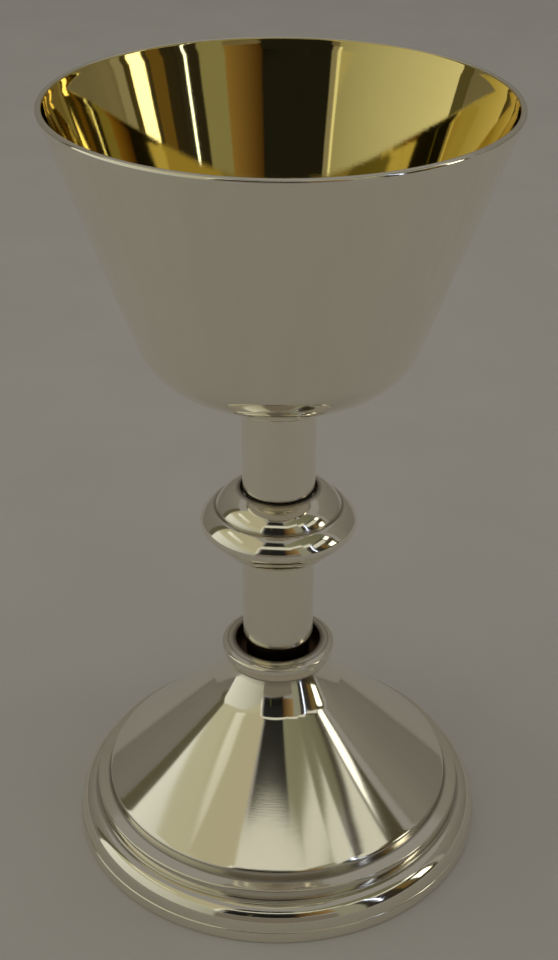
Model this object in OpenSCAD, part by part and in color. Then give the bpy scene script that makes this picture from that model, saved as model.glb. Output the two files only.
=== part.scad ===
// Communion chalice: a gilt-lined bowl, two stem tubes, a knop and a moulded round foot,
// drawn together by one tie rod and a nut under the foot.
// +Z is up, the origin is on the axis at the plane that the foot rests on, and sizes are in mm.

/* [Bowl] */
// Outer diameter across the rim
rim_d = 76; // [68:0.5:90]
// Height of the bowl from the underside of its bottom to the rim
bowl_h = 50.5; // [44:0.5:60]
// Lean of the straight flank away from the vertical, in degrees
flank_angle = 19.5; // [16:0.5:21]
// Radius of the turn between flank and bottom
knuckle_r = 12.5; // [9:0.5:15]
// Radius of the shallow bottom
bottom_r = 46; // [40:1:60]
// Wall of the spun silver
bowl_wall = 1.0; // [0.8:0.1:1.4]
// Thickness of the rounded lip
lip_t = 1.1; // [1.1:0.1:1.6]

/* [Bowl collar] */
// How far the collar under the bowl stands out past the stem
bowl_collar_w = 5; // [3:0.1:7]
// How far its side bulges out
bowl_collar_bulge = 0.8; // [0.4:0.1:1.2]
// Thickness of the boss under the middle of the bowl
boss_t = 0.5; // [0.4:0.1:1.5]
// How far the boss's flange stands out past the stem
boss_flange_w = 0.9; // [0.4:0.1:1.6]
// Depth of the boss's hub inside the upper stem
boss_hub_h = 5.5; // [4:0.5:9]

/* [Stem] */
// Outer diameter of both stem tubes
stem_d = 12.9; // [10.2:0.1:15.4]
// Wall of the stem tubes
stem_wall = 1.0; // [0.8:0.1:1.4]
// Rounding on the tubes' lower ends
stem_end_round = 0.5; // [0.2:0.1:0.7]
// Length of the upper tube
upper_stem_h = 18.7; // [12:0.1:30]
// Length of the lower tube
lower_stem_h = 18.4; // [12:0.1:30]
// Thickness of the plugs that close the tubes' ends
plug_t = 3; // [2:0.5:5]

/* [Knop] */
// How far the knop's middle stands out past the stem
knop_w = 7.5; // [6.2:0.1:11]
// Height of the two shells together
knop_h = 13.2; // [11:0.2:18]
// How far the step between dome and middle roll stands out past the stem
knop_step_w = 4.9; // [4:0.1:5.2]
// Radius of the domes above and below the middle roll
knop_dome_r = 7; // [7:0.5:14]
// Height of the middle roll between its two steps
knop_roll_h = 5.9; // [4:0.1:8]
// Radius of the roll's edge around the knop's middle
knop_edge_r = 1.6; // [1.2:0.1:2]
// Radius of the roll's shoulder next to the step
knop_brow_r = 1.3; // [0.8:0.1:1.5]
// Depth of the groove at each step
knop_groove = 0.25; // [0.1:0.05:0.4]
// Gap between the stem and the edge of each hole
knop_hole_gap = 0.4; // [0.3:0.1:1]
// Wall of the knop's shells
knop_wall = 0.9; // [0.7:0.1:1.2]
// How far the side of the sleeve lies inside the stem's surface
sleeve_inset = 0.6; // [0.3:0.1:0.8]
// How far the tubes' ends stand inside the knop's holes
tube_sunk = 0.4; // [0.1:0.1:0.8]
// Thickness of the two seat rings inside the shells
seat_t = 1; // [0.8:0.1:1.5]

/* [Foot collar] */
// How far the foot collar's ridge stands out past the stem
foot_collar_w = 3.9; // [3.2:0.1:6]
// Height of the foot collar
foot_collar_h = 3.9; // [3:0.1:6]
// How far its underside stands out past the stem
foot_collar_base_w = 2.8; // [2:0.1:3.4]
// Gap between the stem and the side of the well around it
well_gap = 1.3; // [0.6:0.1:1.6]
// Floor of the well above the collar's underside
well_floor = 1.6; // [1:0.1:2.4]
// Height of the stem's seat above the collar's top
seat_rise = 1.1; // [0.4:0.1:3]

/* [Foot] */
// Diameter of the foot where it rests
foot_d = 76.8; // [70:0.2:92]
// Height of the foot up to the neck's top
foot_h = 35.5; // [32:0.1:44]
// How far the neck stands out past the stem
neck_w = 1.5; // [1.4:0.1:1.9]
// How far the crease between neck and cone stands out past the neck
flare_w = 3.7; // [2.4:0.1:4.8]
// Height of the neck from its top to the crease
neck_h = 6.2; // [5:0.1:7.4]
// Width of the moulding outside the cone
moulding_w = 6.1; // [5.5:0.1:8]
// Width of the ledge between the cone's edge and the ridge
ledge_w = 2.5; // [1.5:0.1:3]
// Height of the cone's lower edge
cone_edge_h = 10.8; // [9:0.1:13]
// Height of the vertical step under the cone's edge
step_h = 1.6; // [1:0.1:2.2]
// Wall of the foot's shell
foot_wall = 1.0; // [0.8:0.1:1.3]
// Height of the band around the base
base_h = 2.4; // [1.8:0.1:3]
// Radial width of the band around the base
base_w = 2.2; // [1.6:0.1:3]

/* [Tie rod and clamp] */
// Thread diameter of the tie rod
rod_d = 5; // [4:0.5:5]
// Thread pitch, which is the nut's travel per turn
rod_pitch = 0.8; // [0.5:0.1:1]
// Turns that the nut can be backed off while it stays on the rod
nut_turns = 6; // [3:1:8]
// Rod left below the nut when it is backed off all the way
rod_tip = 1.2; // [0.5:0.1:2]
// Height of the nut
nut_h = 4; // [3:0.5:6]
// Width of the nut across its flats
nut_af = 8; // [7:0.5:9]
// Diameter of the clamp washer
washer_d = 12.6; // [11:0.2:13]
// Thickness of the clamp washer
washer_t = 1; // [0.6:0.1:1.6]
// Length of the bush inside the neck, below the neck's top
bush_depth = 4.5; // [4:0.5:6]

/* [Fits] */
// Radial clearance of a soldered or seated fit
seat_clear = 0.02; // [0.01:0.01:0.05]
// Radial clearance of the nut and the washer on the rod
running_clear = 0.05; // [0.02:0.01:0.1]
// Radial clearance of the rod in the pieces that it passes through
rod_clear = 0.1; // [0.05:0.05:0.3]

/* [Hidden] */

$fn = 128;
arc_steps = 16;   // straight steps in an arc of an outline
over = 1;         // how far a cutting tool runs past what it cuts

// Heights of the stack, from the foot up.
well_z = foot_h + well_floor;
stem_z = foot_h + foot_collar_h + seat_rise;
knop_z = stem_z + lower_stem_h;
sleeve_h = knop_h - 2 * tube_sunk;
knop_mid = knop_z + sleeve_h / 2;
upper_z = knop_z + sleeve_h;
collar_z = upper_z + upper_stem_h;
bowl_z = collar_z + boss_t;
rim_z = bowl_z + bowl_h;
bush_z = foot_h - bush_depth;
nut_z = bush_z - washer_t - nut_h;
rod_z = nut_z - nut_turns * rod_pitch - rod_tip;

// Radii that several pieces share.
stem_r = stem_d / 2;
tube_bore_r = stem_r - stem_wall;
rod_r = rod_d / 2;
rod_hole_r = rod_r + rod_clear;
sleeve_r = stem_r - sleeve_inset;
neck_r = stem_r + neck_w;

// Silver and gilt.
silver = [0.80, 0.79, 0.76];
gilt = [0.83, 0.72, 0.38];
steel = [0.55, 0.55, 0.55];

// Points along an arc from angle a0 to angle a1 about the point [x, y].
function arc(x, y, r, a0, a1) =
    [for (i = [0 : arc_steps]) let (a = a0 + (a1 - a0) * i / arc_steps)
        [x + r * cos(a), y + r * sin(a)]];

// Points along an ellipse's arc from angle a0 to angle a1 about the point [x, y].
function oval(x, y, rx, ry, a0, a1) =
    [for (i = [0 : arc_steps]) let (a = a0 + (a1 - a0) * i / arc_steps)
        [x + rx * cos(a), y + ry * sin(a)]];

function reversed(list) = [for (i = [len(list) - 1 : -1 : 0]) list[i]];

// A polygon in the half plane x >= 0, turned about Z.
module turned(points) {
    rotate_extrude() polygon(points);
}

// A plain ring or a disc with a round hole.
module ring(r_out, r_in, z, h) {
    translate([0, 0, z])
        difference() {
            cylinder(r = r_out, h = h);
            if (r_in > 0)
                translate([0, 0, -over]) cylinder(r = r_in, h = h + 2 * over);
        }
}

// ---- Bowl: a straight flank, a knuckle arc and a shallow bottom arc, tangent to each other.

rim_r = rim_d / 2;
lip_r = lip_t / 2;
bottom_y = bowl_z + bottom_r;
// The flank runs down from the point where it touches the lip's round.
flank_x = rim_r - lip_r * (1 - cos(flank_angle));
flank_y = rim_z - lip_r * (1 + sin(flank_angle));
// The knuckle's centre lies knuckle_r inside the flank and bottom_r - knuckle_r from the
// bottom's centre.
knuckle_px = flank_x - knuckle_r * cos(flank_angle);
knuckle_py = flank_y + knuckle_r * sin(flank_angle) - bottom_y;
flank_dx = -sin(flank_angle);
flank_dy = -cos(flank_angle);
along = knuckle_px * flank_dx + knuckle_py * flank_dy;
reach = knuckle_px * knuckle_px + knuckle_py * knuckle_py - pow(bottom_r - knuckle_r, 2);
flank_len = sqrt(along * along - reach) - along;
knuckle_x = knuckle_px + flank_len * flank_dx;
knuckle_y = knuckle_py + flank_len * flank_dy;
knuckle_end = atan2(knuckle_y, knuckle_x);

// The bowl's outline, moved inwards by t, from the axis up to the lip.
function bowl_outline(t) =
    concat(arc(0, bottom_y, bottom_r - t, -90, knuckle_end),
           arc(knuckle_x, bottom_y + knuckle_y, knuckle_r - t, knuckle_end, -flank_angle),
           [[flank_x - t * cos(flank_angle), flank_y + t * sin(flank_angle)]]);

// Everything that the bowl's outer surface encloses, up to the lip.
module bowl_filled() {
    turned(concat(bowl_outline(0), [[0, flank_y]]));
}

module bowl() {
    color(gilt) {
        turned(concat(bowl_outline(0), reversed(bowl_outline(bowl_wall))));
        rotate_extrude()
            translate([rim_r - lip_r, rim_z - lip_r]) circle(r = lip_r, $fn = 32);
    }
}

// ---- Under the bowl: a boss soldered to it, and the turned collar around the boss.

module rod_boss() {
    boss_top = bowl_z + boss_t + over;
    color(silver)
        difference() {
            union() {
                ring(stem_r + boss_flange_w, 0, collar_z, boss_top - collar_z);
                ring(tube_bore_r - seat_clear, 0, collar_z - boss_hub_h, boss_hub_h + over / 2);
            }
            bowl_filled();
            translate([0, 0, collar_z - boss_hub_h - over])
                cylinder(r = rod_r + seat_clear, h = boss_hub_h + over);
        }
}

module bowl_collar() {
    inner = stem_r + boss_flange_w + seat_clear;
    bulge_x = stem_r + bowl_collar_w - bowl_collar_bulge;
    top = bottom_y - sqrt(bottom_r * bottom_r - bulge_x * bulge_x);
    half = (top - collar_z) / 2;
    color(silver)
        difference() {
            turned(concat([[inner, top], [inner, collar_z]],
                          oval(bulge_x, collar_z + half, bowl_collar_bulge, half, -90, 90)));
            bowl_filled();
        }
}

// ---- Stem: two tubes with plugs in their ends.

// A tube with its lower outer edge rounded.
module stem_tube(z, h) {
    turned(concat([[tube_bore_r, z + h], [tube_bore_r, z]],
                  arc(stem_r - stem_end_round, z + stem_end_round, stem_end_round, -90, 0),
                  [[stem_r, z + h]]));
}

// A plug that fills a tube's end and lets the rod through.
module stem_plug(z) {
    ring(tube_bore_r - seat_clear, rod_hole_r, z, plug_t);
}

module upper_stem() {
    color(silver) stem_tube(upper_z, upper_stem_h);
}

module upper_stem_plug() {
    color(silver) stem_plug(upper_z);
}

module lower_stem() {
    color(silver) stem_tube(stem_z, lower_stem_h);
}

module lower_stem_top_plug() {
    color(silver) stem_plug(stem_z + lower_stem_h - plug_t);
}

module lower_stem_bottom_plug() {
    color(silver) stem_plug(stem_z);
}

// ---- Knop: two spun shells soldered at the middle, seat rings and a sleeve.

knop_r = stem_r + knop_w;
knop_step_r = stem_r + knop_step_w;
knop_hole_r = stem_r + knop_hole_gap;
roll_h = knop_roll_h / 2;
// The straight slope between the roll's edge and its shoulder touches both arcs.
slope_dx = knop_r - knop_edge_r - knop_step_r;
slope_dy = roll_h - knop_brow_r;
roll_turn = 90 - atan2(slope_dy, slope_dx)
            - acos((knop_edge_r - knop_brow_r) / norm([slope_dx, slope_dy])) + 90;
// The dome's arc runs from the step up to the hole, with its centre below its chord's middle.
dome_w = knop_step_r - knop_hole_r;
dome_h = knop_h / 2 - roll_h;
dome_chord = sqrt(dome_w * dome_w + dome_h * dome_h);
dome_back = sqrt(knop_dome_r * knop_dome_r - dome_chord * dome_chord / 4);
dome_x = (knop_step_r + knop_hole_r) / 2 - dome_back * dome_h / dome_chord;
dome_y = roll_h + dome_h / 2 - dome_back * dome_w / dome_chord;
dome_low = atan2(roll_h - dome_y, knop_step_r - dome_x);
dome_high = atan2(knop_h / 2 - dome_y, knop_hole_r - dome_x);

// The roll and the dome of one half above the middle plane, moved inwards by t. The dome's arc
// starts dome_skip degrees above the step.
function knop_roll(t) = concat(arc(knop_r - knop_edge_r, 0, knop_edge_r - t, 0, roll_turn),
                              arc(knop_step_r, roll_h - knop_brow_r, knop_brow_r - t,
                                  roll_turn, 90));
function knop_dome(t, dome_skip) =
    arc(dome_x, dome_y, knop_dome_r - t, dome_low + dome_skip, dome_high);

// Outside, a groove lies between roll and dome; inside, a straight slope joins them.
knop_outside = concat(knop_roll(0),
                      [[knop_step_r - knop_groove, roll_h],
                       [knop_step_r - knop_groove, roll_h + knop_groove]],
                      knop_dome(0, 3));
knop_inside = concat(knop_roll(knop_wall), knop_dome(knop_wall, 5));

// The upper shell, standing on the plane z = 0.
module knop_half() {
    turned(concat(knop_outside, reversed(knop_inside)));
}

// The hollow inside the upper shell.
module knop_hollow() {
    hollow_top = knop_inside[len(knop_inside) - 1][1];
    turned(concat([[0, 0]], knop_inside, [[0, hollow_top]]));
}

// A ring soldered inside a shell under its hole.
module knop_seat() {
    seat_z = knop_h / 2 - 2 * knop_wall - seat_t;
    intersection() {
        ring(knop_step_r, sleeve_r + seat_clear, seat_z, seat_t);
        knop_hollow();
    }
}

module knop_upper_shell() {
    color(silver) translate([0, 0, knop_mid]) knop_half();
}

module knop_lower_shell() {
    color(silver) translate([0, 0, knop_mid]) mirror([0, 0, 1]) knop_half();
}

module knop_upper_seat() {
    color(silver) translate([0, 0, knop_mid]) knop_seat();
}

module knop_lower_seat() {
    color(silver) translate([0, 0, knop_mid]) mirror([0, 0, 1]) knop_seat();
}

module knop_sleeve() {
    color(silver) ring(sleeve_r, rod_hole_r, knop_z, sleeve_h);
}

// ---- Foot collar: a turned ring with a ridge, and a well that the stem's seat stands in.

collar_edge_h = 0.5;     // height of the upright edge around its underside
collar_ridge_at = 0.8;   // height of its ridge, as a share of its height

module foot_collar() {
    edge_r = stem_r + foot_collar_w;
    base_r = stem_r + foot_collar_base_w;
    well_r = stem_r + well_gap;
    bore_r = sleeve_r + seat_clear;
    edge_z = foot_h + foot_collar_h * collar_ridge_at;
    below = edge_z - foot_h - collar_edge_h;
    above = foot_h + foot_collar_h - edge_z;
    color(silver)
        turned(concat([[bore_r, well_z], [bore_r, foot_h], [base_r, foot_h]],
                      oval(base_r, edge_z, edge_r - base_r, below, -90, 0),
                      oval(well_r, edge_z, edge_r - well_r, above, 0, 90),
                      [[well_r, well_z]]));
}

// The bush that fills the neck, passes through the collar and carries the lower stem.
module neck_bush() {
    body_r = neck_r - foot_wall - seat_clear;
    color(silver)
        difference() {
            union() {
                ring(body_r, 0, bush_z, bush_depth);
                ring(sleeve_r, 0, bush_z, stem_z - bush_z);
            }
            translate([0, 0, bush_z - over])
                cylinder(r = rod_hole_r, h = stem_z - bush_z + 2 * over);
        }
}

// ---- Foot: a spun shell with neck, cone and moulded edge, and the band soldered under it.

foot_r = foot_d / 2;
cone_r = foot_r - moulding_w;
crease_r = neck_r + flare_w;
crease_z = foot_h - neck_h;
step_z = cone_edge_h - step_h;
cone_angle = atan2(crease_z - cone_edge_h, cone_r - crease_r);
cone_drop = foot_wall / cos(cone_angle);

// The flare is a long arc that leans flare_start from the upright at the neck's top and a
// little more at the crease.
flare_start = 20;
flare_chord = norm([flare_w, neck_h]);
flare_lean = atan2(flare_w, neck_h);
flare_half = flare_lean - flare_start;
flare_r = flare_chord / 2 / sin(flare_half);
flare_x = neck_r + flare_r * cos(flare_start);
flare_y = foot_h + flare_r * sin(flare_start);

// The neck's outline from its top down to the crease, moved inwards by t.
function neck_outline(t) =
    concat([[neck_r - t, foot_h]],
           arc(flare_x, flare_y, flare_r + t, 180 + flare_start + (t > 0 ? inside_skip : 0),
               180 + flare_start + 2 * flare_half));
inside_skip = 0.5;

// The height of the cone's inner face at radius r.
function cone_inside(r) = cone_edge_h + (cone_r - r) * tan(cone_angle) - cone_drop;

// The moulded edge from the cone's edge down to the top of the base band: a step, a shallow
// ledge with a rounded ridge, a hollow and a full round.
ridge_round = 0.3;
hollow_round = 0.4;
step_draft = 0.1;    // how far the step leans out over its height
ledge_fall = 0.4;    // how far the ridge lies below the foot of the step
ridge_h = 2.1;       // height of the ridge's upright side
band_proud = 0.2;    // how far the base band stands out past the full round
ridge_r = cone_r + ledge_w;
ridge_z = step_z - ledge_fall - ridge_round;
hollow_z = ridge_z - ridge_h;
hollow_r = ridge_r + hollow_round;
round_r = foot_r - band_proud;
round_z = base_h + band_proud;
edge_profile =
    concat([[cone_r, cone_edge_h], [cone_r + step_draft, step_z]],
           arc(ridge_r - ridge_round, ridge_z, ridge_round, 90, 0),
           arc(hollow_r, hollow_z + hollow_round, hollow_round, 180, 260),
           oval(hollow_r, round_z, round_r - hollow_r, hollow_z - round_z, 90, 0),
           [[round_r, base_h]]);

// The inside of the moulded edge, plain as spinning leaves it.
corner_in = foot_wall * 0.8;
edge_inside = [[foot_r - base_w, base_h],
               [ridge_r - foot_wall, hollow_z - foot_wall],
               [cone_r - corner_in, step_z - corner_in],
               [cone_r - 2 * corner_in, cone_inside(cone_r - 2 * corner_in)]];

module foot_shell() {
    color(silver)
        turned(concat(neck_outline(0), edge_profile, edge_inside,
                      reversed(neck_outline(foot_wall))));
}

band_round = 0.3;
band_chamfer = 0.2;

module base_band() {
    inner = foot_r - base_w;
    color(silver)
        turned(concat([[inner, 0], [foot_r - band_chamfer, 0], [foot_r, band_chamfer]],
                      arc(foot_r - band_round, base_h - band_round, band_round, 0, 90),
                      [[inner, base_h]]));
}

// ---- Tie rod and clamp, hidden in the stem and under the foot's apex.

module tie_rod() {
    color(steel) translate([0, 0, rod_z]) cylinder(r = rod_r, h = collar_z - rod_z);
}

module clamp_washer() {
    color(steel) ring(washer_d / 2, rod_r + running_clear, bush_z - washer_t, washer_t);
}

module clamp_nut() {
    color(steel)
        translate([0, 0, nut_z])
            difference() {
                cylinder(d = nut_af / cos(30), h = nut_h, $fn = 6);
                translate([0, 0, -over])
                    cylinder(r = rod_r + running_clear, h = nut_h + 2 * over);
            }
}

bowl();
rod_boss();
bowl_collar();
upper_stem();
upper_stem_plug();
knop_upper_shell();
knop_lower_shell();
knop_sleeve();
knop_upper_seat();
knop_lower_seat();
lower_stem();
lower_stem_top_plug();
lower_stem_bottom_plug();
foot_collar();
neck_bush();
foot_shell();
base_band();
tie_rod();
clamp_washer();
clamp_nut();
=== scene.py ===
import math
import bmesh
import bpy
from mathutils import Matrix, Vector


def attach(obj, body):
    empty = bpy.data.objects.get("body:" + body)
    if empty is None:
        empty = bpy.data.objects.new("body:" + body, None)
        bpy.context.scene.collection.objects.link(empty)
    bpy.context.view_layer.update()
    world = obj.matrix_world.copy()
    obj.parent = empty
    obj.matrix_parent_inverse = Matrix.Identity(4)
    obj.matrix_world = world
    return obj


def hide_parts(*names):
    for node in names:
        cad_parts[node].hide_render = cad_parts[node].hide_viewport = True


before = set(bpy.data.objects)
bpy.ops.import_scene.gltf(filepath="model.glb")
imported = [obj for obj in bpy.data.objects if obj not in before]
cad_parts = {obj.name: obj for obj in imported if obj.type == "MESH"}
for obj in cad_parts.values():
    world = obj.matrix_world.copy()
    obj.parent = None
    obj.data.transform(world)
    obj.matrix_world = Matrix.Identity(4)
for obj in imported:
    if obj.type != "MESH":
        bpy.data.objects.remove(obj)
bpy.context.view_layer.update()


# ---------------------------------------------------------------- Bowl
# Spun silver, one millimetre thick, with a plain full round for a lip. The inside is gilded,
# and the gilding ends just inside the lip. Sizes are in millimetres.

MM = 0.001
ROUND_PARTS = 6         # pieces that a rounded corner is made of
SHARP = 32              # an edge that bends more than this, in degrees, stays sharp


def arc(x, z, rx, rz, start, end, parts=16):
    """Points along an ellipse's arc, as (radius, height)."""
    angles = [math.radians(start + (end - start) * i / parts) for i in range(parts + 1)]
    return [(x + rx * math.cos(a), z + rz * math.sin(a)) for a in angles]


def turned(name, outline, longest=0.7, steps=240):
    """Turns a closed outline about Z. A third number at a corner rounds it by that much."""
    bm = bmesh.new()
    corners = [bm.verts.new((p[0] * MM, 0, p[1] * MM)) for p in outline]
    for a, b in zip(corners, corners[1:] + corners[:1]):
        if a.co.x > 1e-9 or b.co.x > 1e-9:
            bm.edges.new((a, b))
    for corner, point in zip(corners, outline):
        if len(point) == 3:
            bmesh.ops.bevel(bm, geom=[corner], offset=point[2] * MM, offset_type="OFFSET",
                            affect="VERTICES", segments=ROUND_PARTS, profile=0.5, material=-1)
    for edge in list(bm.edges):
        cuts = int(edge.calc_length() / (longest * MM))
        if cuts:
            bmesh.ops.subdivide_edges(bm, edges=[edge], cuts=cuts)
    bmesh.ops.spin(bm, geom=bm.verts[:] + bm.edges[:], cent=(0, 0, 0), axis=(0, 0, 1),
                   dvec=(0, 0, 0), angle=2 * math.pi, steps=steps, use_merge=True)
    bmesh.ops.remove_doubles(bm, verts=bm.verts[:], dist=1e-7)
    bmesh.ops.recalc_face_normals(bm, faces=bm.faces[:])
    mesh = bpy.data.meshes.new(name)
    bm.to_mesh(mesh)
    bm.free()
    mesh.shade_smooth()
    mesh.set_sharp_from_angle(angle=math.radians(SHARP))
    piece = bpy.data.objects.new(name, mesh)
    bpy.context.scene.collection.objects.link(piece)
    return piece


RIM_R, RIM_Z = 38.0, 141.0
FLANK = 19.5            # lean of the flank, in degrees
KNUCKLE_R, BOTTOM_R = 12.5, 46.0
BOWL_Z = 90.5
LIP_R = 0.55
bottom_centre = BOWL_Z + BOTTOM_R
lean = math.radians(FLANK)
inwards = Vector((-math.cos(lean), math.sin(lean)))
down_flank = Vector((-math.sin(lean), -math.cos(lean)))
lip_at = Vector((RIM_R - LIP_R, RIM_Z - LIP_R))
flank_top = lip_at - inwards * LIP_R
knuckle_from = flank_top + inwards * KNUCKLE_R - Vector((0, bottom_centre))
along = knuckle_from.dot(down_flank)
gap = knuckle_from.length_squared - (BOTTOM_R - KNUCKLE_R) ** 2
knuckle = knuckle_from + (math.sqrt(along * along - gap) - along) * down_flank
knuckle_turn = math.degrees(math.atan2(knuckle.y, knuckle.x))


def bowl_line(depth, short=0.0):
    """The bowl's outline, depth below its outer surface, from the axis to short of the lip."""
    end = flank_top + down_flank * short + inwards * depth
    bottom = arc(0, bottom_centre, BOTTOM_R - depth, BOTTOM_R - depth, -90, knuckle_turn, 24)
    turn = arc(knuckle.x, bottom_centre + knuckle.y, KNUCKLE_R - depth, KNUCKLE_R - depth,
               knuckle_turn, -FLANK, 24)
    return bottom + turn[1:] + [tuple(end)]


GILT_FROM = 135         # where on the lip the gilding ends, in degrees from outwards
BOWL_WALL, GILT_DEPTH = 1.0, 0.7
lip_outside = arc(*lip_at, LIP_R, LIP_R, -FLANK, GILT_FROM, 16)[1:]
lip_inside = arc(*lip_at, LIP_R, LIP_R, GILT_FROM, 180 - FLANK, 10)
silver_bowl = turned("bowl_silver", bowl_line(0) + lip_outside + bowl_line(GILT_DEPTH, 0.6)[::-1],
                     1.2)
gilt_bowl = turned("bowl_gilding", bowl_line(GILT_DEPTH + 0.02, 0.6) + lip_inside
                   + bowl_line(BOWL_WALL, 0.5)[::-1], 1.2)


class Term:
    """A shader value that takes Python arithmetic. Each operator adds one Math node."""

    def __init__(self, shader, socket):
        self.shader = shader
        self.socket = socket

    def math(self, operation, *others):
        return self.shader.node("ShaderNodeMath", {"operation": operation}, self, *others)

    def __add__(self, other):
        return self.math("ADD", other)

    def __sub__(self, other):
        return self.math("SUBTRACT", other)

    def __rsub__(self, other):
        return self.shader.node("ShaderNodeMath", {"operation": "SUBTRACT"}, other, self)

    def __mul__(self, other):
        return self.math("MULTIPLY", other)

    def __truediv__(self, other):
        return self.math("DIVIDE", other)

    __radd__ = __add__
    __rmul__ = __mul__

    def below(self, edge, soft):
        """One where the value is under the edge, zero where it is over, with a soft step."""
        return ((edge - self) / soft).clamp()

    def clamp(self):
        return self.shader.node("ShaderNodeClamp", {}, self, 0.0, 1.0)


class Shader:
    """A material's nodes. Settings are given first, then values or links for the sockets."""

    def __init__(self, name):
        self.material = bpy.data.materials.new(name)
        self.material.use_nodes = True
        self.tree = self.material.node_tree
        self.surface = self.tree.nodes["Principled BSDF"]
        self.place = self.node("ShaderNodeTexCoord", {}, out="Object")

    def fill(self, sockets, values):
        for socket, value in zip(sockets, values):
            if isinstance(value, Term):
                self.tree.links.new(value.socket, socket)
            elif value is not None:
                socket.default_value = value

    def node(self, kind, settings, *values, out=0, named=None):
        node = self.tree.nodes.new(kind)
        for key, value in settings.items():
            setattr(node, key, value)
        shown = [s for s in node.inputs if s.enabled]
        self.fill(shown, values)
        for key, value in (named or {}).items():
            self.fill([node.inputs[key]], [value])
        outputs = [s for s in node.outputs if s.enabled]
        return Term(self, node.outputs[out] if isinstance(out, str) else outputs[out])

    def set(self, **values):
        for key, value in values.items():
            self.fill([self.surface.inputs[key.replace("_", " ")]], [value])

    def stretched(self, scale):
        """The place in the object, stretched, in metres."""
        return self.node("ShaderNodeMapping", {}, self.place, None, None, scale)

    def noise(self, scale, detail=2.0, rough=0.5, at=None):
        return self.node("ShaderNodeTexNoise", {}, at or self.place, out="Fac",
                         named={"Scale": scale, "Detail": detail, "Roughness": rough})

    def specks(self, scale, size, rarity, at=None):
        """Small round spots in about one cell out of rarity."""
        cells = {"feature": "F1"}
        near = self.node("ShaderNodeTexVoronoi", cells, at or self.place, out="Distance",
                         named={"Scale": scale})
        dice = self.node("ShaderNodeTexVoronoi", cells, at or self.place, out="Color",
                         named={"Scale": scale})
        pick = self.node("ShaderNodeSeparateColor", {}, dice, out="Red")
        return near.below(size, size * 0.4) * pick.below(1 / rarity, 0.001)

    def blend(self, amount, first, second):
        return self.node("ShaderNodeMix", {"data_type": "RGBA"}, amount, first, second)

    def bump(self, height, distance, strength=1.0, onto=None):
        return self.node("ShaderNodeBump", {}, out="Normal",
                         named={"Strength": strength, "Distance": distance, "Height": height,
                                "Normal": onto})


def polished(name, colour, stain, roughness, marks, rings=()):
    """Polished metal: hair-fine marks that run around the piece, cloudy wear and tiny specks.
    Each ring darkens a recess brown, painted shade with some tarnish; it has a radius and a width
    in millimetres, and a strength."""
    s = Shader(name)
    clouds = s.noise(90, 3)
    hairs = s.noise(1, 4, 0.6, s.stretched((250, 250, 9000)))
    spots = s.specks(420, 0.10, 9)
    base = s.blend((clouds * 0.35 + spots * 0.6).clamp(), colour, stain)
    rough = roughness + (clouds * 0.5 + hairs * 0.5 - 0.45) * marks
    if rings:
        around = s.node("ShaderNodeVectorMath", {"operation": "LENGTH"}, s.stretched((1, 1, 0)),
                        out="Value")
        tarnish_and_shade = 0.0
        # Each ring darkens a recess: painted shade, brown with some tarnish.
        for radius, width, strength in rings:
            away = (around - radius * MM).math("ABSOLUTE")
            tarnish_and_shade = (1.0 - away / (width * MM)).clamp() * strength + tarnish_and_shade
        tarnish_and_shade = (tarnish_and_shade * (0.7 + clouds * 0.6)).clamp()
        base = s.blend(tarnish_and_shade, base, TARNISH_AND_SHADE)
        rough = rough + tarnish_and_shade * 0.25
    s.set(Base_Color=base, Metallic=1.0, Roughness=rough)
    wobble = s.bump(s.noise(55, 1), 0.00006)
    s.set(Normal=s.bump(hairs, 0.0000015, onto=wobble))
    return s


# Brown for painted shade in the recesses and in the dark gaps, with some tarnish.
TARNISH_AND_SHADE = (0.06, 0.035, 0.02, 1)
SILVER = (0.93, 0.89, 0.79, 1)
SILVER_STAIN = (0.85, 0.80, 0.68, 1)
silver = polished("polished silver", SILVER, SILVER_STAIN, 0.09, 0.08)
bowl_skin = polished("polished silver, bowl", SILVER, SILVER_STAIN, 0.07, 0.06)
gilding = polished("gilding", (0.79, 0.66, 0.27, 1), (0.64, 0.50, 0.17, 1), 0.035, 0.04)

silver_bowl.data.materials.append(bowl_skin.material)
gilt_bowl.data.materials.append(gilding.material)
for piece, finish in ((silver_bowl, "polished_silver"), (gilt_bowl, "gilt_silver")):
    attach(piece, "chalice")
    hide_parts("bowl")


# ---------------------------------------------------------------- Collar under the bowl
# A turned ring, soldered around the boss under the bowl and filed to the bowl's curve. Its
# side is a half round.

COLLAR_R, COLLAR_Z, BULGE = 11.45, 90.0, 0.8
BOSS_R = 7.37


SEAT_GAP = 0.02         # between the ring and the bowl's curve


def bowl_underside(r):
    return bottom_centre - math.sqrt(BOTTOM_R ** 2 - r ** 2) - SEAT_GAP


side_half = (bowl_underside(COLLAR_R - BULGE) - COLLAR_Z) / 2
bulge = arc(COLLAR_R - BULGE, COLLAR_Z + side_half, BULGE, side_half, -90, 90, 28)
under_bowl = [(r, bowl_underside(r)) for r in (10.0, 9.0, 8.0, BOSS_R)]
bowl_collar = turned("bowl_collar_turned", [(BOSS_R, COLLAR_Z)] + bulge + under_bowl, 0.4)


def fit(piece, node, shader):
    """The piece rides on the chalice in place of one CAD node."""
    piece.data.materials.append(shader.material)
    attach(piece, "chalice")
    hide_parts(node)


fit(bowl_collar, "bowl_collar", silver)


# ---------------------------------------------------------------- Stem tubes
# Two lengths of drawn silver tube, left a little duller than the rest. Their lower outer
# edges are rounded over and polished.

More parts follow.
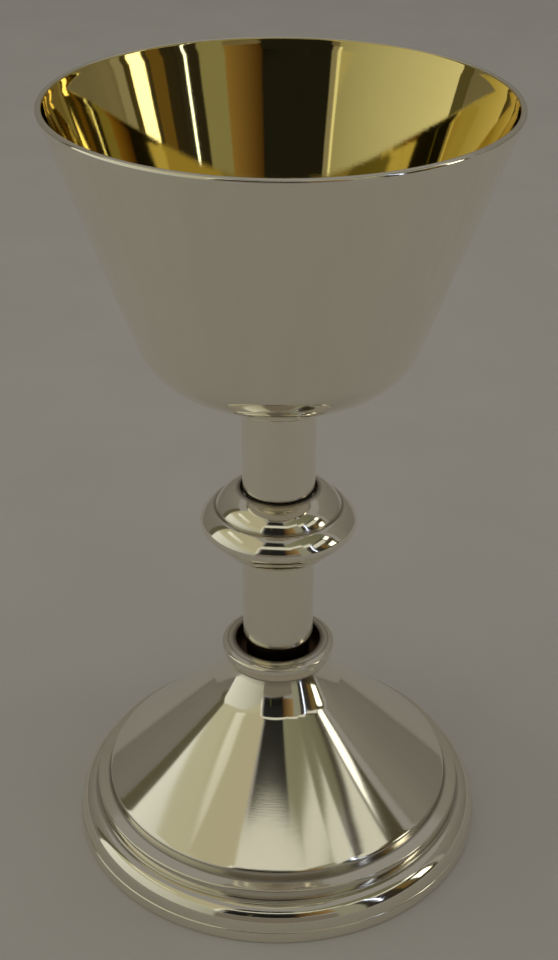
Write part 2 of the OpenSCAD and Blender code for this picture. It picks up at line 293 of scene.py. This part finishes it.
STEM_R, STEM_WALL = 6.45, 1.0
satin = polished("drawn silver tube", SILVER, SILVER_STAIN, 0.17, 0.10)
for node, low, high in (("upper_stem", 71.3, 90.0), ("lower_stem", 40.5, 58.9)):
    tube = turned(node + "_tube", [(STEM_R - STEM_WALL, low), (STEM_R, low, 0.5),
                                   (STEM_R, high, 0.05), (STEM_R - STEM_WALL, high)])
    fit(tube, node, satin)


# ---------------------------------------------------------------- Knop
# Two spun shells soldered together at the middle and polished over. Each has a domed end with
# a hole for the stem, a fine groove, and half of the middle roll.

KNOP_Z = 65.1
KNOP_R, STEP_R, HOLE_R = 13.95, 11.35, 6.85
ROLL_H, KNOP_H = 2.95, 6.6
DOME_R, KNOP_WALL, GROOVE = 7.0, 0.9, 0.25
chord = Vector((STEP_R - HOLE_R, KNOP_H - ROLL_H))
back = math.sqrt(DOME_R ** 2 - chord.length_squared / 4) / chord.length
dome_x = (STEP_R + HOLE_R) / 2 - back * chord.y
dome_z = (ROLL_H + KNOP_H) / 2 - back * chord.x
dome_low = math.degrees(math.atan2(ROLL_H - dome_z, STEP_R - dome_x))
dome_high = math.degrees(math.atan2(KNOP_H - dome_z, HOLE_R - dome_x))
SEAM = 0.03             # upright strip at the middle, so that the two shells shade as one
# The roll is three arcs that run into each other: the edge, a slope that is nearly straight,
# and the brow next to the groove. Each has its radius and the angle where it ends.
EDGE_R, EDGE_TO = 1.6, 34
SLOPE_R, SLOPE_TO = 8.08, 52
BROW_R = 0.98


def along_ray(start, length, degrees):
    return (start[0] + length * math.cos(math.radians(degrees)),
            start[1] + length * math.sin(math.radians(degrees)))


edge_at = (KNOP_R - EDGE_R, SEAM)
slope_at = along_ray(edge_at, EDGE_R - SLOPE_R, EDGE_TO)
brow_at = along_ray(slope_at, SLOPE_R - BROW_R, SLOPE_TO)


def knop_line(depth, skip):
    edge = arc(*edge_at, EDGE_R - depth, EDGE_R - depth, 0, EDGE_TO, 16)
    slope = arc(*slope_at, SLOPE_R - depth, SLOPE_R - depth, EDGE_TO, SLOPE_TO, 16)
    brow = arc(*brow_at, BROW_R - depth, BROW_R - depth, SLOPE_TO, 90, 16)
    dome = arc(dome_x, dome_z, DOME_R - depth, DOME_R - depth, dome_low + skip, dome_high, 28)
    groove = [] if depth else [(STEP_R - GROOVE, ROLL_H), (STEP_R - GROOVE, ROLL_H + GROOVE)]
    return [(KNOP_R - depth, 0)] + edge + slope[1:] + brow[1:] + groove + dome


# Rings of painted shade, with some tarnish: around the stem's hole and at the step by the groove.
knop_skin = polished("polished silver, knop", SILVER, SILVER_STAIN, 0.08, 0.08,
                     [(HOLE_R, 0.9, 0.9), (STEP_R, 0.4, 0.6)])
half = knop_line(0, 3) + knop_line(KNOP_WALL, 5)[::-1]
for node, side in (("knop_upper_shell", 1), ("knop_lower_shell", -1)):
    shell = turned(node + "_spun", [(p[0], KNOP_Z + side * p[1]) for p in half], 0.4)
    fit(shell, node, knop_skin)


# ---------------------------------------------------------------- Foot collar
# A turned ring soldered on top of the neck, with a ridge near its top and a well that the
# lower tube stands in.

NECK_Z, COLLAR_TOP = 35.5, 39.4
RIDGE_R, RIDGE_Z = 10.35, 38.62
BASE_R, WELL_R, WELL_Z, BUSH_R = 9.25, 7.75, 37.1, 5.87
BASE_EDGE = 0.5         # upright edge at the collar's foot
ring = ([(BUSH_R, WELL_Z), (BUSH_R, NECK_Z), (BASE_R, NECK_Z, 0.12)]
        + arc(BASE_R, RIDGE_Z, RIDGE_R - BASE_R, RIDGE_Z - NECK_Z - BASE_EDGE, -90, 0, 20)
        + arc(WELL_R, RIDGE_Z, RIDGE_R - WELL_R, COLLAR_TOP - RIDGE_Z, 0, 84, 24)
        + [(WELL_R, COLLAR_TOP, 0.1), (WELL_R, WELL_Z)])
# Rings of painted shade, with some tarnish: in the well around the tube and its edge, and at the
# collar's foot where it meets the neck.
collar_skin = polished("polished silver, foot collar", SILVER, SILVER_STAIN, 0.09, 0.08,
                       [(6.8, 2.3, 1.8), (BASE_R, 0.35, 0.5)])
fit(turned("foot_collar_turned", ring, 0.4), "foot_collar", collar_skin)


# ---------------------------------------------------------------- Foot
# One spun silver shell: a short neck that flares to a crease, a straight cone, an upright step,
# a ledge with a small ridge, a hollow and a full round at the bottom.

FOOT_R, FOOT_WALL, BAND_H, BAND_W = 38.4, 1.0, 2.4, 2.2
NECK_R, FLARE, NECK_H, FLARE_START = 7.95, 3.7, 6.2, 20
CONE_R, CONE_Z, STEP_Z = 32.3, 10.8, 9.2
RIDGE_OUT, RIDGE_TOP, HOLLOW_Z = 34.8, 8.8, 6.4
flare_bend = math.degrees(math.atan2(FLARE, NECK_H)) - FLARE_START
flare_r = math.hypot(FLARE, NECK_H) / 2 / math.sin(math.radians(flare_bend))
flare_at = (NECK_R + flare_r * math.cos(math.radians(FLARE_START)),
            NECK_Z + flare_r * math.sin(math.radians(FLARE_START)))
crease = (NECK_R + FLARE, NECK_Z - NECK_H)
cone_slope = (crease[1] - CONE_Z) / (CONE_R - crease[0])
cone_drop = FOOT_WALL * math.sqrt(1 + cone_slope ** 2)


def neck_line(depth, skip=0):
    flare = arc(*flare_at, flare_r + depth, flare_r + depth, 180 + FLARE_START + skip,
                180 + FLARE_START + 2 * flare_bend, 24)
    return ([(NECK_R - depth, NECK_Z)] if skip else []) + flare


def cone_inside(r):
    return CONE_Z + (CONE_R - r) * cone_slope - cone_drop


STEP_DRAFT = 0.1
SHELL_R = FOOT_R - 0.2  # the shell's edge stands a little inside the band's
HOLLOW_W = 0.4          # narrow hollow between the ridge and the full round
ROUND_Z = BAND_H + 0.2  # height at which the full round turns upright
CORNER, FINE_CORNER = 0.3, 0.12
outside = (neck_line(0)
           + [(CONE_R, CONE_Z, CORNER), (CONE_R + STEP_DRAFT, STEP_Z, FINE_CORNER),
              (RIDGE_OUT, RIDGE_TOP, CORNER), (RIDGE_OUT, HOLLOW_Z, CORNER)]
           + arc(RIDGE_OUT + HOLLOW_W, ROUND_Z, SHELL_R - HOLLOW_W - RIDGE_OUT, HOLLOW_Z - ROUND_Z,
                 90, 0, 28)
           + [(SHELL_R, BAND_H)])
STEP_IN, CONE_IN = 0.8, CONE_R - 1.6
inside = [(FOOT_R - BAND_W, BAND_H), (RIDGE_OUT - FOOT_WALL, HOLLOW_Z - FOOT_WALL),
          (CONE_R - STEP_IN, STEP_Z - STEP_IN, CORNER), (CONE_IN, cone_inside(CONE_IN), CORNER)]
foot = turned("foot_spun", outside + inside + neck_line(FOOT_WALL, 0.5)[::-1], 0.6)
# Rings of painted shade, with some tarnish: where the neck meets the collar, at the step and in
# the hollow.
foot_skin = polished("polished silver, foot", SILVER, SILVER_STAIN, 0.08, 0.07,
                     [(NECK_R, 0.7, 0.5), (CONE_R + 0.2, 0.45, 0.6), (RIDGE_OUT + 0.3, 0.5, 0.45)])
fit(foot, "foot_shell", foot_skin)


# ---------------------------------------------------------------- Base band
# A flat band of silver wire, soldered around the bottom of the foot. The chalice rests on it.

band = turned("base_band_wire", [(FOOT_R - BAND_W, 0), (FOOT_R, 0, 0.2), (FOOT_R, BAND_H, 0.3),
                                 (FOOT_R - BAND_W, BAND_H)], 0.5)
fit(band, "base_band", silver)


# ---------------------------------------------------------------- Hidden pieces and the clamp
# Boss, plugs and seats are turned silver. The sleeve and the bush, down in the dark gaps around
# the tubes' ends, are coloured nearly black: painted shade. The rod, the washer and the nut that
# draw the chalice together are plain steel, and can be seen under the foot.

steel = polished("plain steel", (0.42, 0.42, 0.41, 1), (0.27, 0.26, 0.24, 1), 0.34, 0.2)
inner = polished("turned silver", (0.80, 0.77, 0.70, 1), (0.62, 0.58, 0.50, 1), 0.28, 0.15)
# Nearly black silver for the pieces in the dark gaps: painted shade.
shade_darkened = polished("tarnished silver", TARNISH_AND_SHADE, (0.04, 0.03, 0.02, 1), 0.45, 0.15)
for node in ("rod_boss", "upper_stem_plug", "knop_sleeve", "knop_upper_seat", "knop_lower_seat",
             "lower_stem_top_plug", "lower_stem_bottom_plug", "neck_bush", "tie_rod",
             "clamp_washer", "clamp_nut"):
    skin = {"tie_rod": steel, "clamp_washer": steel, "clamp_nut": steel,
            "neck_bush": shade_darkened, "knop_sleeve": shade_darkened}.get(node, inner)
    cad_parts[node].data.materials.clear()
    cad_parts[node].data.materials.append(skin.material)


# ---------------------------------------------------------------- Floor and studio
# Pale grey paper on the table that rises behind the chalice, under soft light. Plain flats
# stand around the front of it for the silver to mirror: a bright wall on the left, a dark gap
# in the middle, brown and grey ones on the right and a window beside them.

def paper(name, mesh_maker):
    bm = bmesh.new()
    mesh_maker(bm)
    bmesh.ops.recalc_face_normals(bm, faces=bm.faces[:])
    mesh = bpy.data.meshes.new(name)
    bm.to_mesh(mesh)
    bm.free()
    made = bpy.data.objects.new(name, mesh)
    bpy.context.scene.collection.objects.link(made)
    return made


def sweep(bm):
    """A wide sheet that turns up along a half circle behind the chalice."""
    corner = bm.verts.new((0.9, 0.0, 0.0))
    top = bm.verts.new((0.9, 0.0, 0.9))
    bm.edges.new((corner, top))
    bmesh.ops.spin(bm, geom=bm.verts[:] + bm.edges[:], cent=(0, 0, 0), axis=(0, 0, 1),
                   dvec=(0, 0, 0), angle=math.radians(172), steps=60)
    for face in bm.faces:
        face.smooth = True


grey = Shader("pale grey paper")
fibres = grey.noise(900, 3)
mottle = grey.noise(28, 3)
worn = (fibres * 0.3 + mottle * 0.9 - 0.3).clamp()
grey.set(Base_Color=grey.blend(worn, (0.58, 0.56, 0.545, 1), (0.50, 0.485, 0.47, 1)),
         Roughness=0.9)
floor = paper("floor", lambda bm: bmesh.ops.create_grid(bm, x_segments=1, y_segments=1, size=3))
backdrop = paper("backdrop", sweep)
backdrop.rotation_euler.z = math.radians(6)
for sheet in (floor, backdrop):
    sheet.data.materials.append(grey.material)


def flat(name, left, right, low, high, away, colour, end=None):
    """An upright glowing panel that faces the chalice, between two directions in degrees: 0 is
    in front, 90 to the right. Its colour may shade over to another one at its left end."""
    panel = paper(name, lambda bm: bmesh.ops.create_grid(bm, x_segments=1, y_segments=1, size=0.5))
    a = math.radians((left + right) / 2)
    panel.location = (away * math.sin(a), -away * math.cos(a), (low + high) / 2)
    panel.rotation_euler = (math.pi / 2, 0, a)
    panel.scale = (2 * away * math.tan(math.radians((right - left) / 2)), high - low, 1)
    glow = Shader(name + " glow")
    shade = (*colour, 1)
    if end:
        across = glow.node("ShaderNodeSeparateXYZ", {}, glow.place, out="X")
        shade = glow.blend((0.5 - across).clamp(), shade, (*end, 1))
    glow.set(Base_Color=(0, 0, 0, 1), Roughness=1.0, Emission_Color=shade, Emission_Strength=1.0)
    panel.data.materials.append(glow.material)
    return panel


# Heights and distances are in metres here.
LOW, MID, HIGH = 0.34, 0.75, 1.5
DARK = (0.02, 0.015, 0.01)
CREAM = (0.62, 0.61, 0.50)
flat("window right, low", 77, 86, 0.12, 0.38, 0.70, (2.6, 2.5, 2.0))
flat("window right, high", 80, 88, 0.53, 0.66, 0.70, (1.6, 1.6, 1.4))
flat("window frame", 57, 90, 0.0, MID, 0.74, (0.05, 0.04, 0.015), DARK)
flat("brown right", 66, 74, 0.12, 0.50, 0.72, (0.13, 0.08, 0.02))
flat("door frame", 45, 57, 0.0, MID, 0.74, DARK)
flat("door gap", 52.4, 53.6, 0.10, MID, 0.70, (3.2, 3.6, 4.6))
flat("wall right", 31, 45, 0.0, MID, 0.72, (0.24, 0.24, 0.17))
flat("curtain right", 10, 31, LOW, MID, 0.70, (0.25, 0.16, 0.06), (0.05, 0.022, 0.003))
flat("upper right", 12, 90, MID, HIGH, 0.73, (0.12, 0.12, 0.07), (0.20, 0.20, 0.12))
flat("dark gap", -28, 12, LOW, HIGH, 0.72, (0.004, 0.004, 0.003))
flat("dark gap edge", -14.6, -13.6, LOW, MID, 0.70, (0.14, 0.14, 0.05))
flat("wall edge", -33, -31.4, LOW, MID, 0.69, (0.9, 0.9, 0.75))
flat("wall left, low", -105, -31, 0.0, 0.48, 0.70, (0.34, 0.34, 0.26), (0.72, 0.72, 0.62))
flat("wall left, middle", -105, -31, 0.48, 0.62, 0.70, (0.44, 0.42, 0.28), (0.46, 0.44, 0.30))
flat("wall left, bright", -98, -50, 0.64, 0.76, 0.69, (0.46, 0.44, 0.30), (0.86, 0.84, 0.70))
flat("wall left, high", -105, -31, 0.62, HIGH, 0.70, (0.42, 0.38, 0.25), (0.40, 0.38, 0.24))
flat("wall left, end", -113, -105, 0.15, MID, 0.70, (0.09, 0.08, 0.045))
flat("low front", -34, 31, 0.0, 0.45, 1.0, (0.16, 0.14, 0.11))
flat("dark card", -28, 11, 0.19, 0.275, 0.26, (0.01, 0.01, 0.01))
flat("pale strip", -31, 22, 0.80, 0.98, 0.69, CREAM)
flat("pale strip, right", 22, 42, 0.78, 0.91, 0.69, CREAM)
flat("pale strip, far right", 42, 56, 0.66, 0.80, 0.69, CREAM)
flat("pale strip, end", 56, 78, 0.50, 0.64, 0.69, CREAM)

ceiling = bpy.data.lights.new("ceiling", "AREA")
ceiling.size = 2.0
ceiling.energy = 7.2
ceiling.color = (1.0, 0.99, 1.0)
lamp = bpy.data.objects.new("ceiling", ceiling)
lamp.location = (0.0, -0.1, 1.8)
lamp.visible_glossy = False
bpy.context.scene.collection.objects.link(lamp)

world = bpy.data.worlds.new("room")
world.use_nodes = True
world.node_tree.nodes["Background"].inputs["Color"].default_value = (0.27, 0.26, 0.235, 1)
world.node_tree.nodes["Background"].inputs["Strength"].default_value = 1.0
bpy.context.scene.world = world
bpy.context.scene.view_settings.view_transform = "Standard"


# ---------------------------------------------------------------- Camera
# It looks down on the chalice by about 30 degrees, from just in front and less than an arm's
# length away.

camera = bpy.data.objects.new("camera", bpy.data.cameras.new("camera"))
bpy.context.scene.collection.objects.link(camera)
pitch, yaw, roll = (math.radians(a) for a in (29.694, 0.167, 0.326))
ahead = Vector((math.sin(yaw) * math.cos(pitch), math.cos(yaw) * math.cos(pitch),
                -math.sin(pitch)))
level = Vector((math.cos(yaw), -math.sin(yaw), 0))
upward = level.cross(ahead)
right = math.cos(roll) * level + math.sin(roll) * upward
up = math.cos(roll) * upward - math.sin(roll) * level
camera.matrix_world = (Matrix.Translation(Vector((-0.000686, -0.24616, 0.21324)))
                       @ Matrix((right, up, -ahead)).transposed().to_4x4())
camera.data.sensor_width = 36
camera.data.lens = 60.40
camera.data.clip_start = 0.01
bpy.context.scene.camera = camera
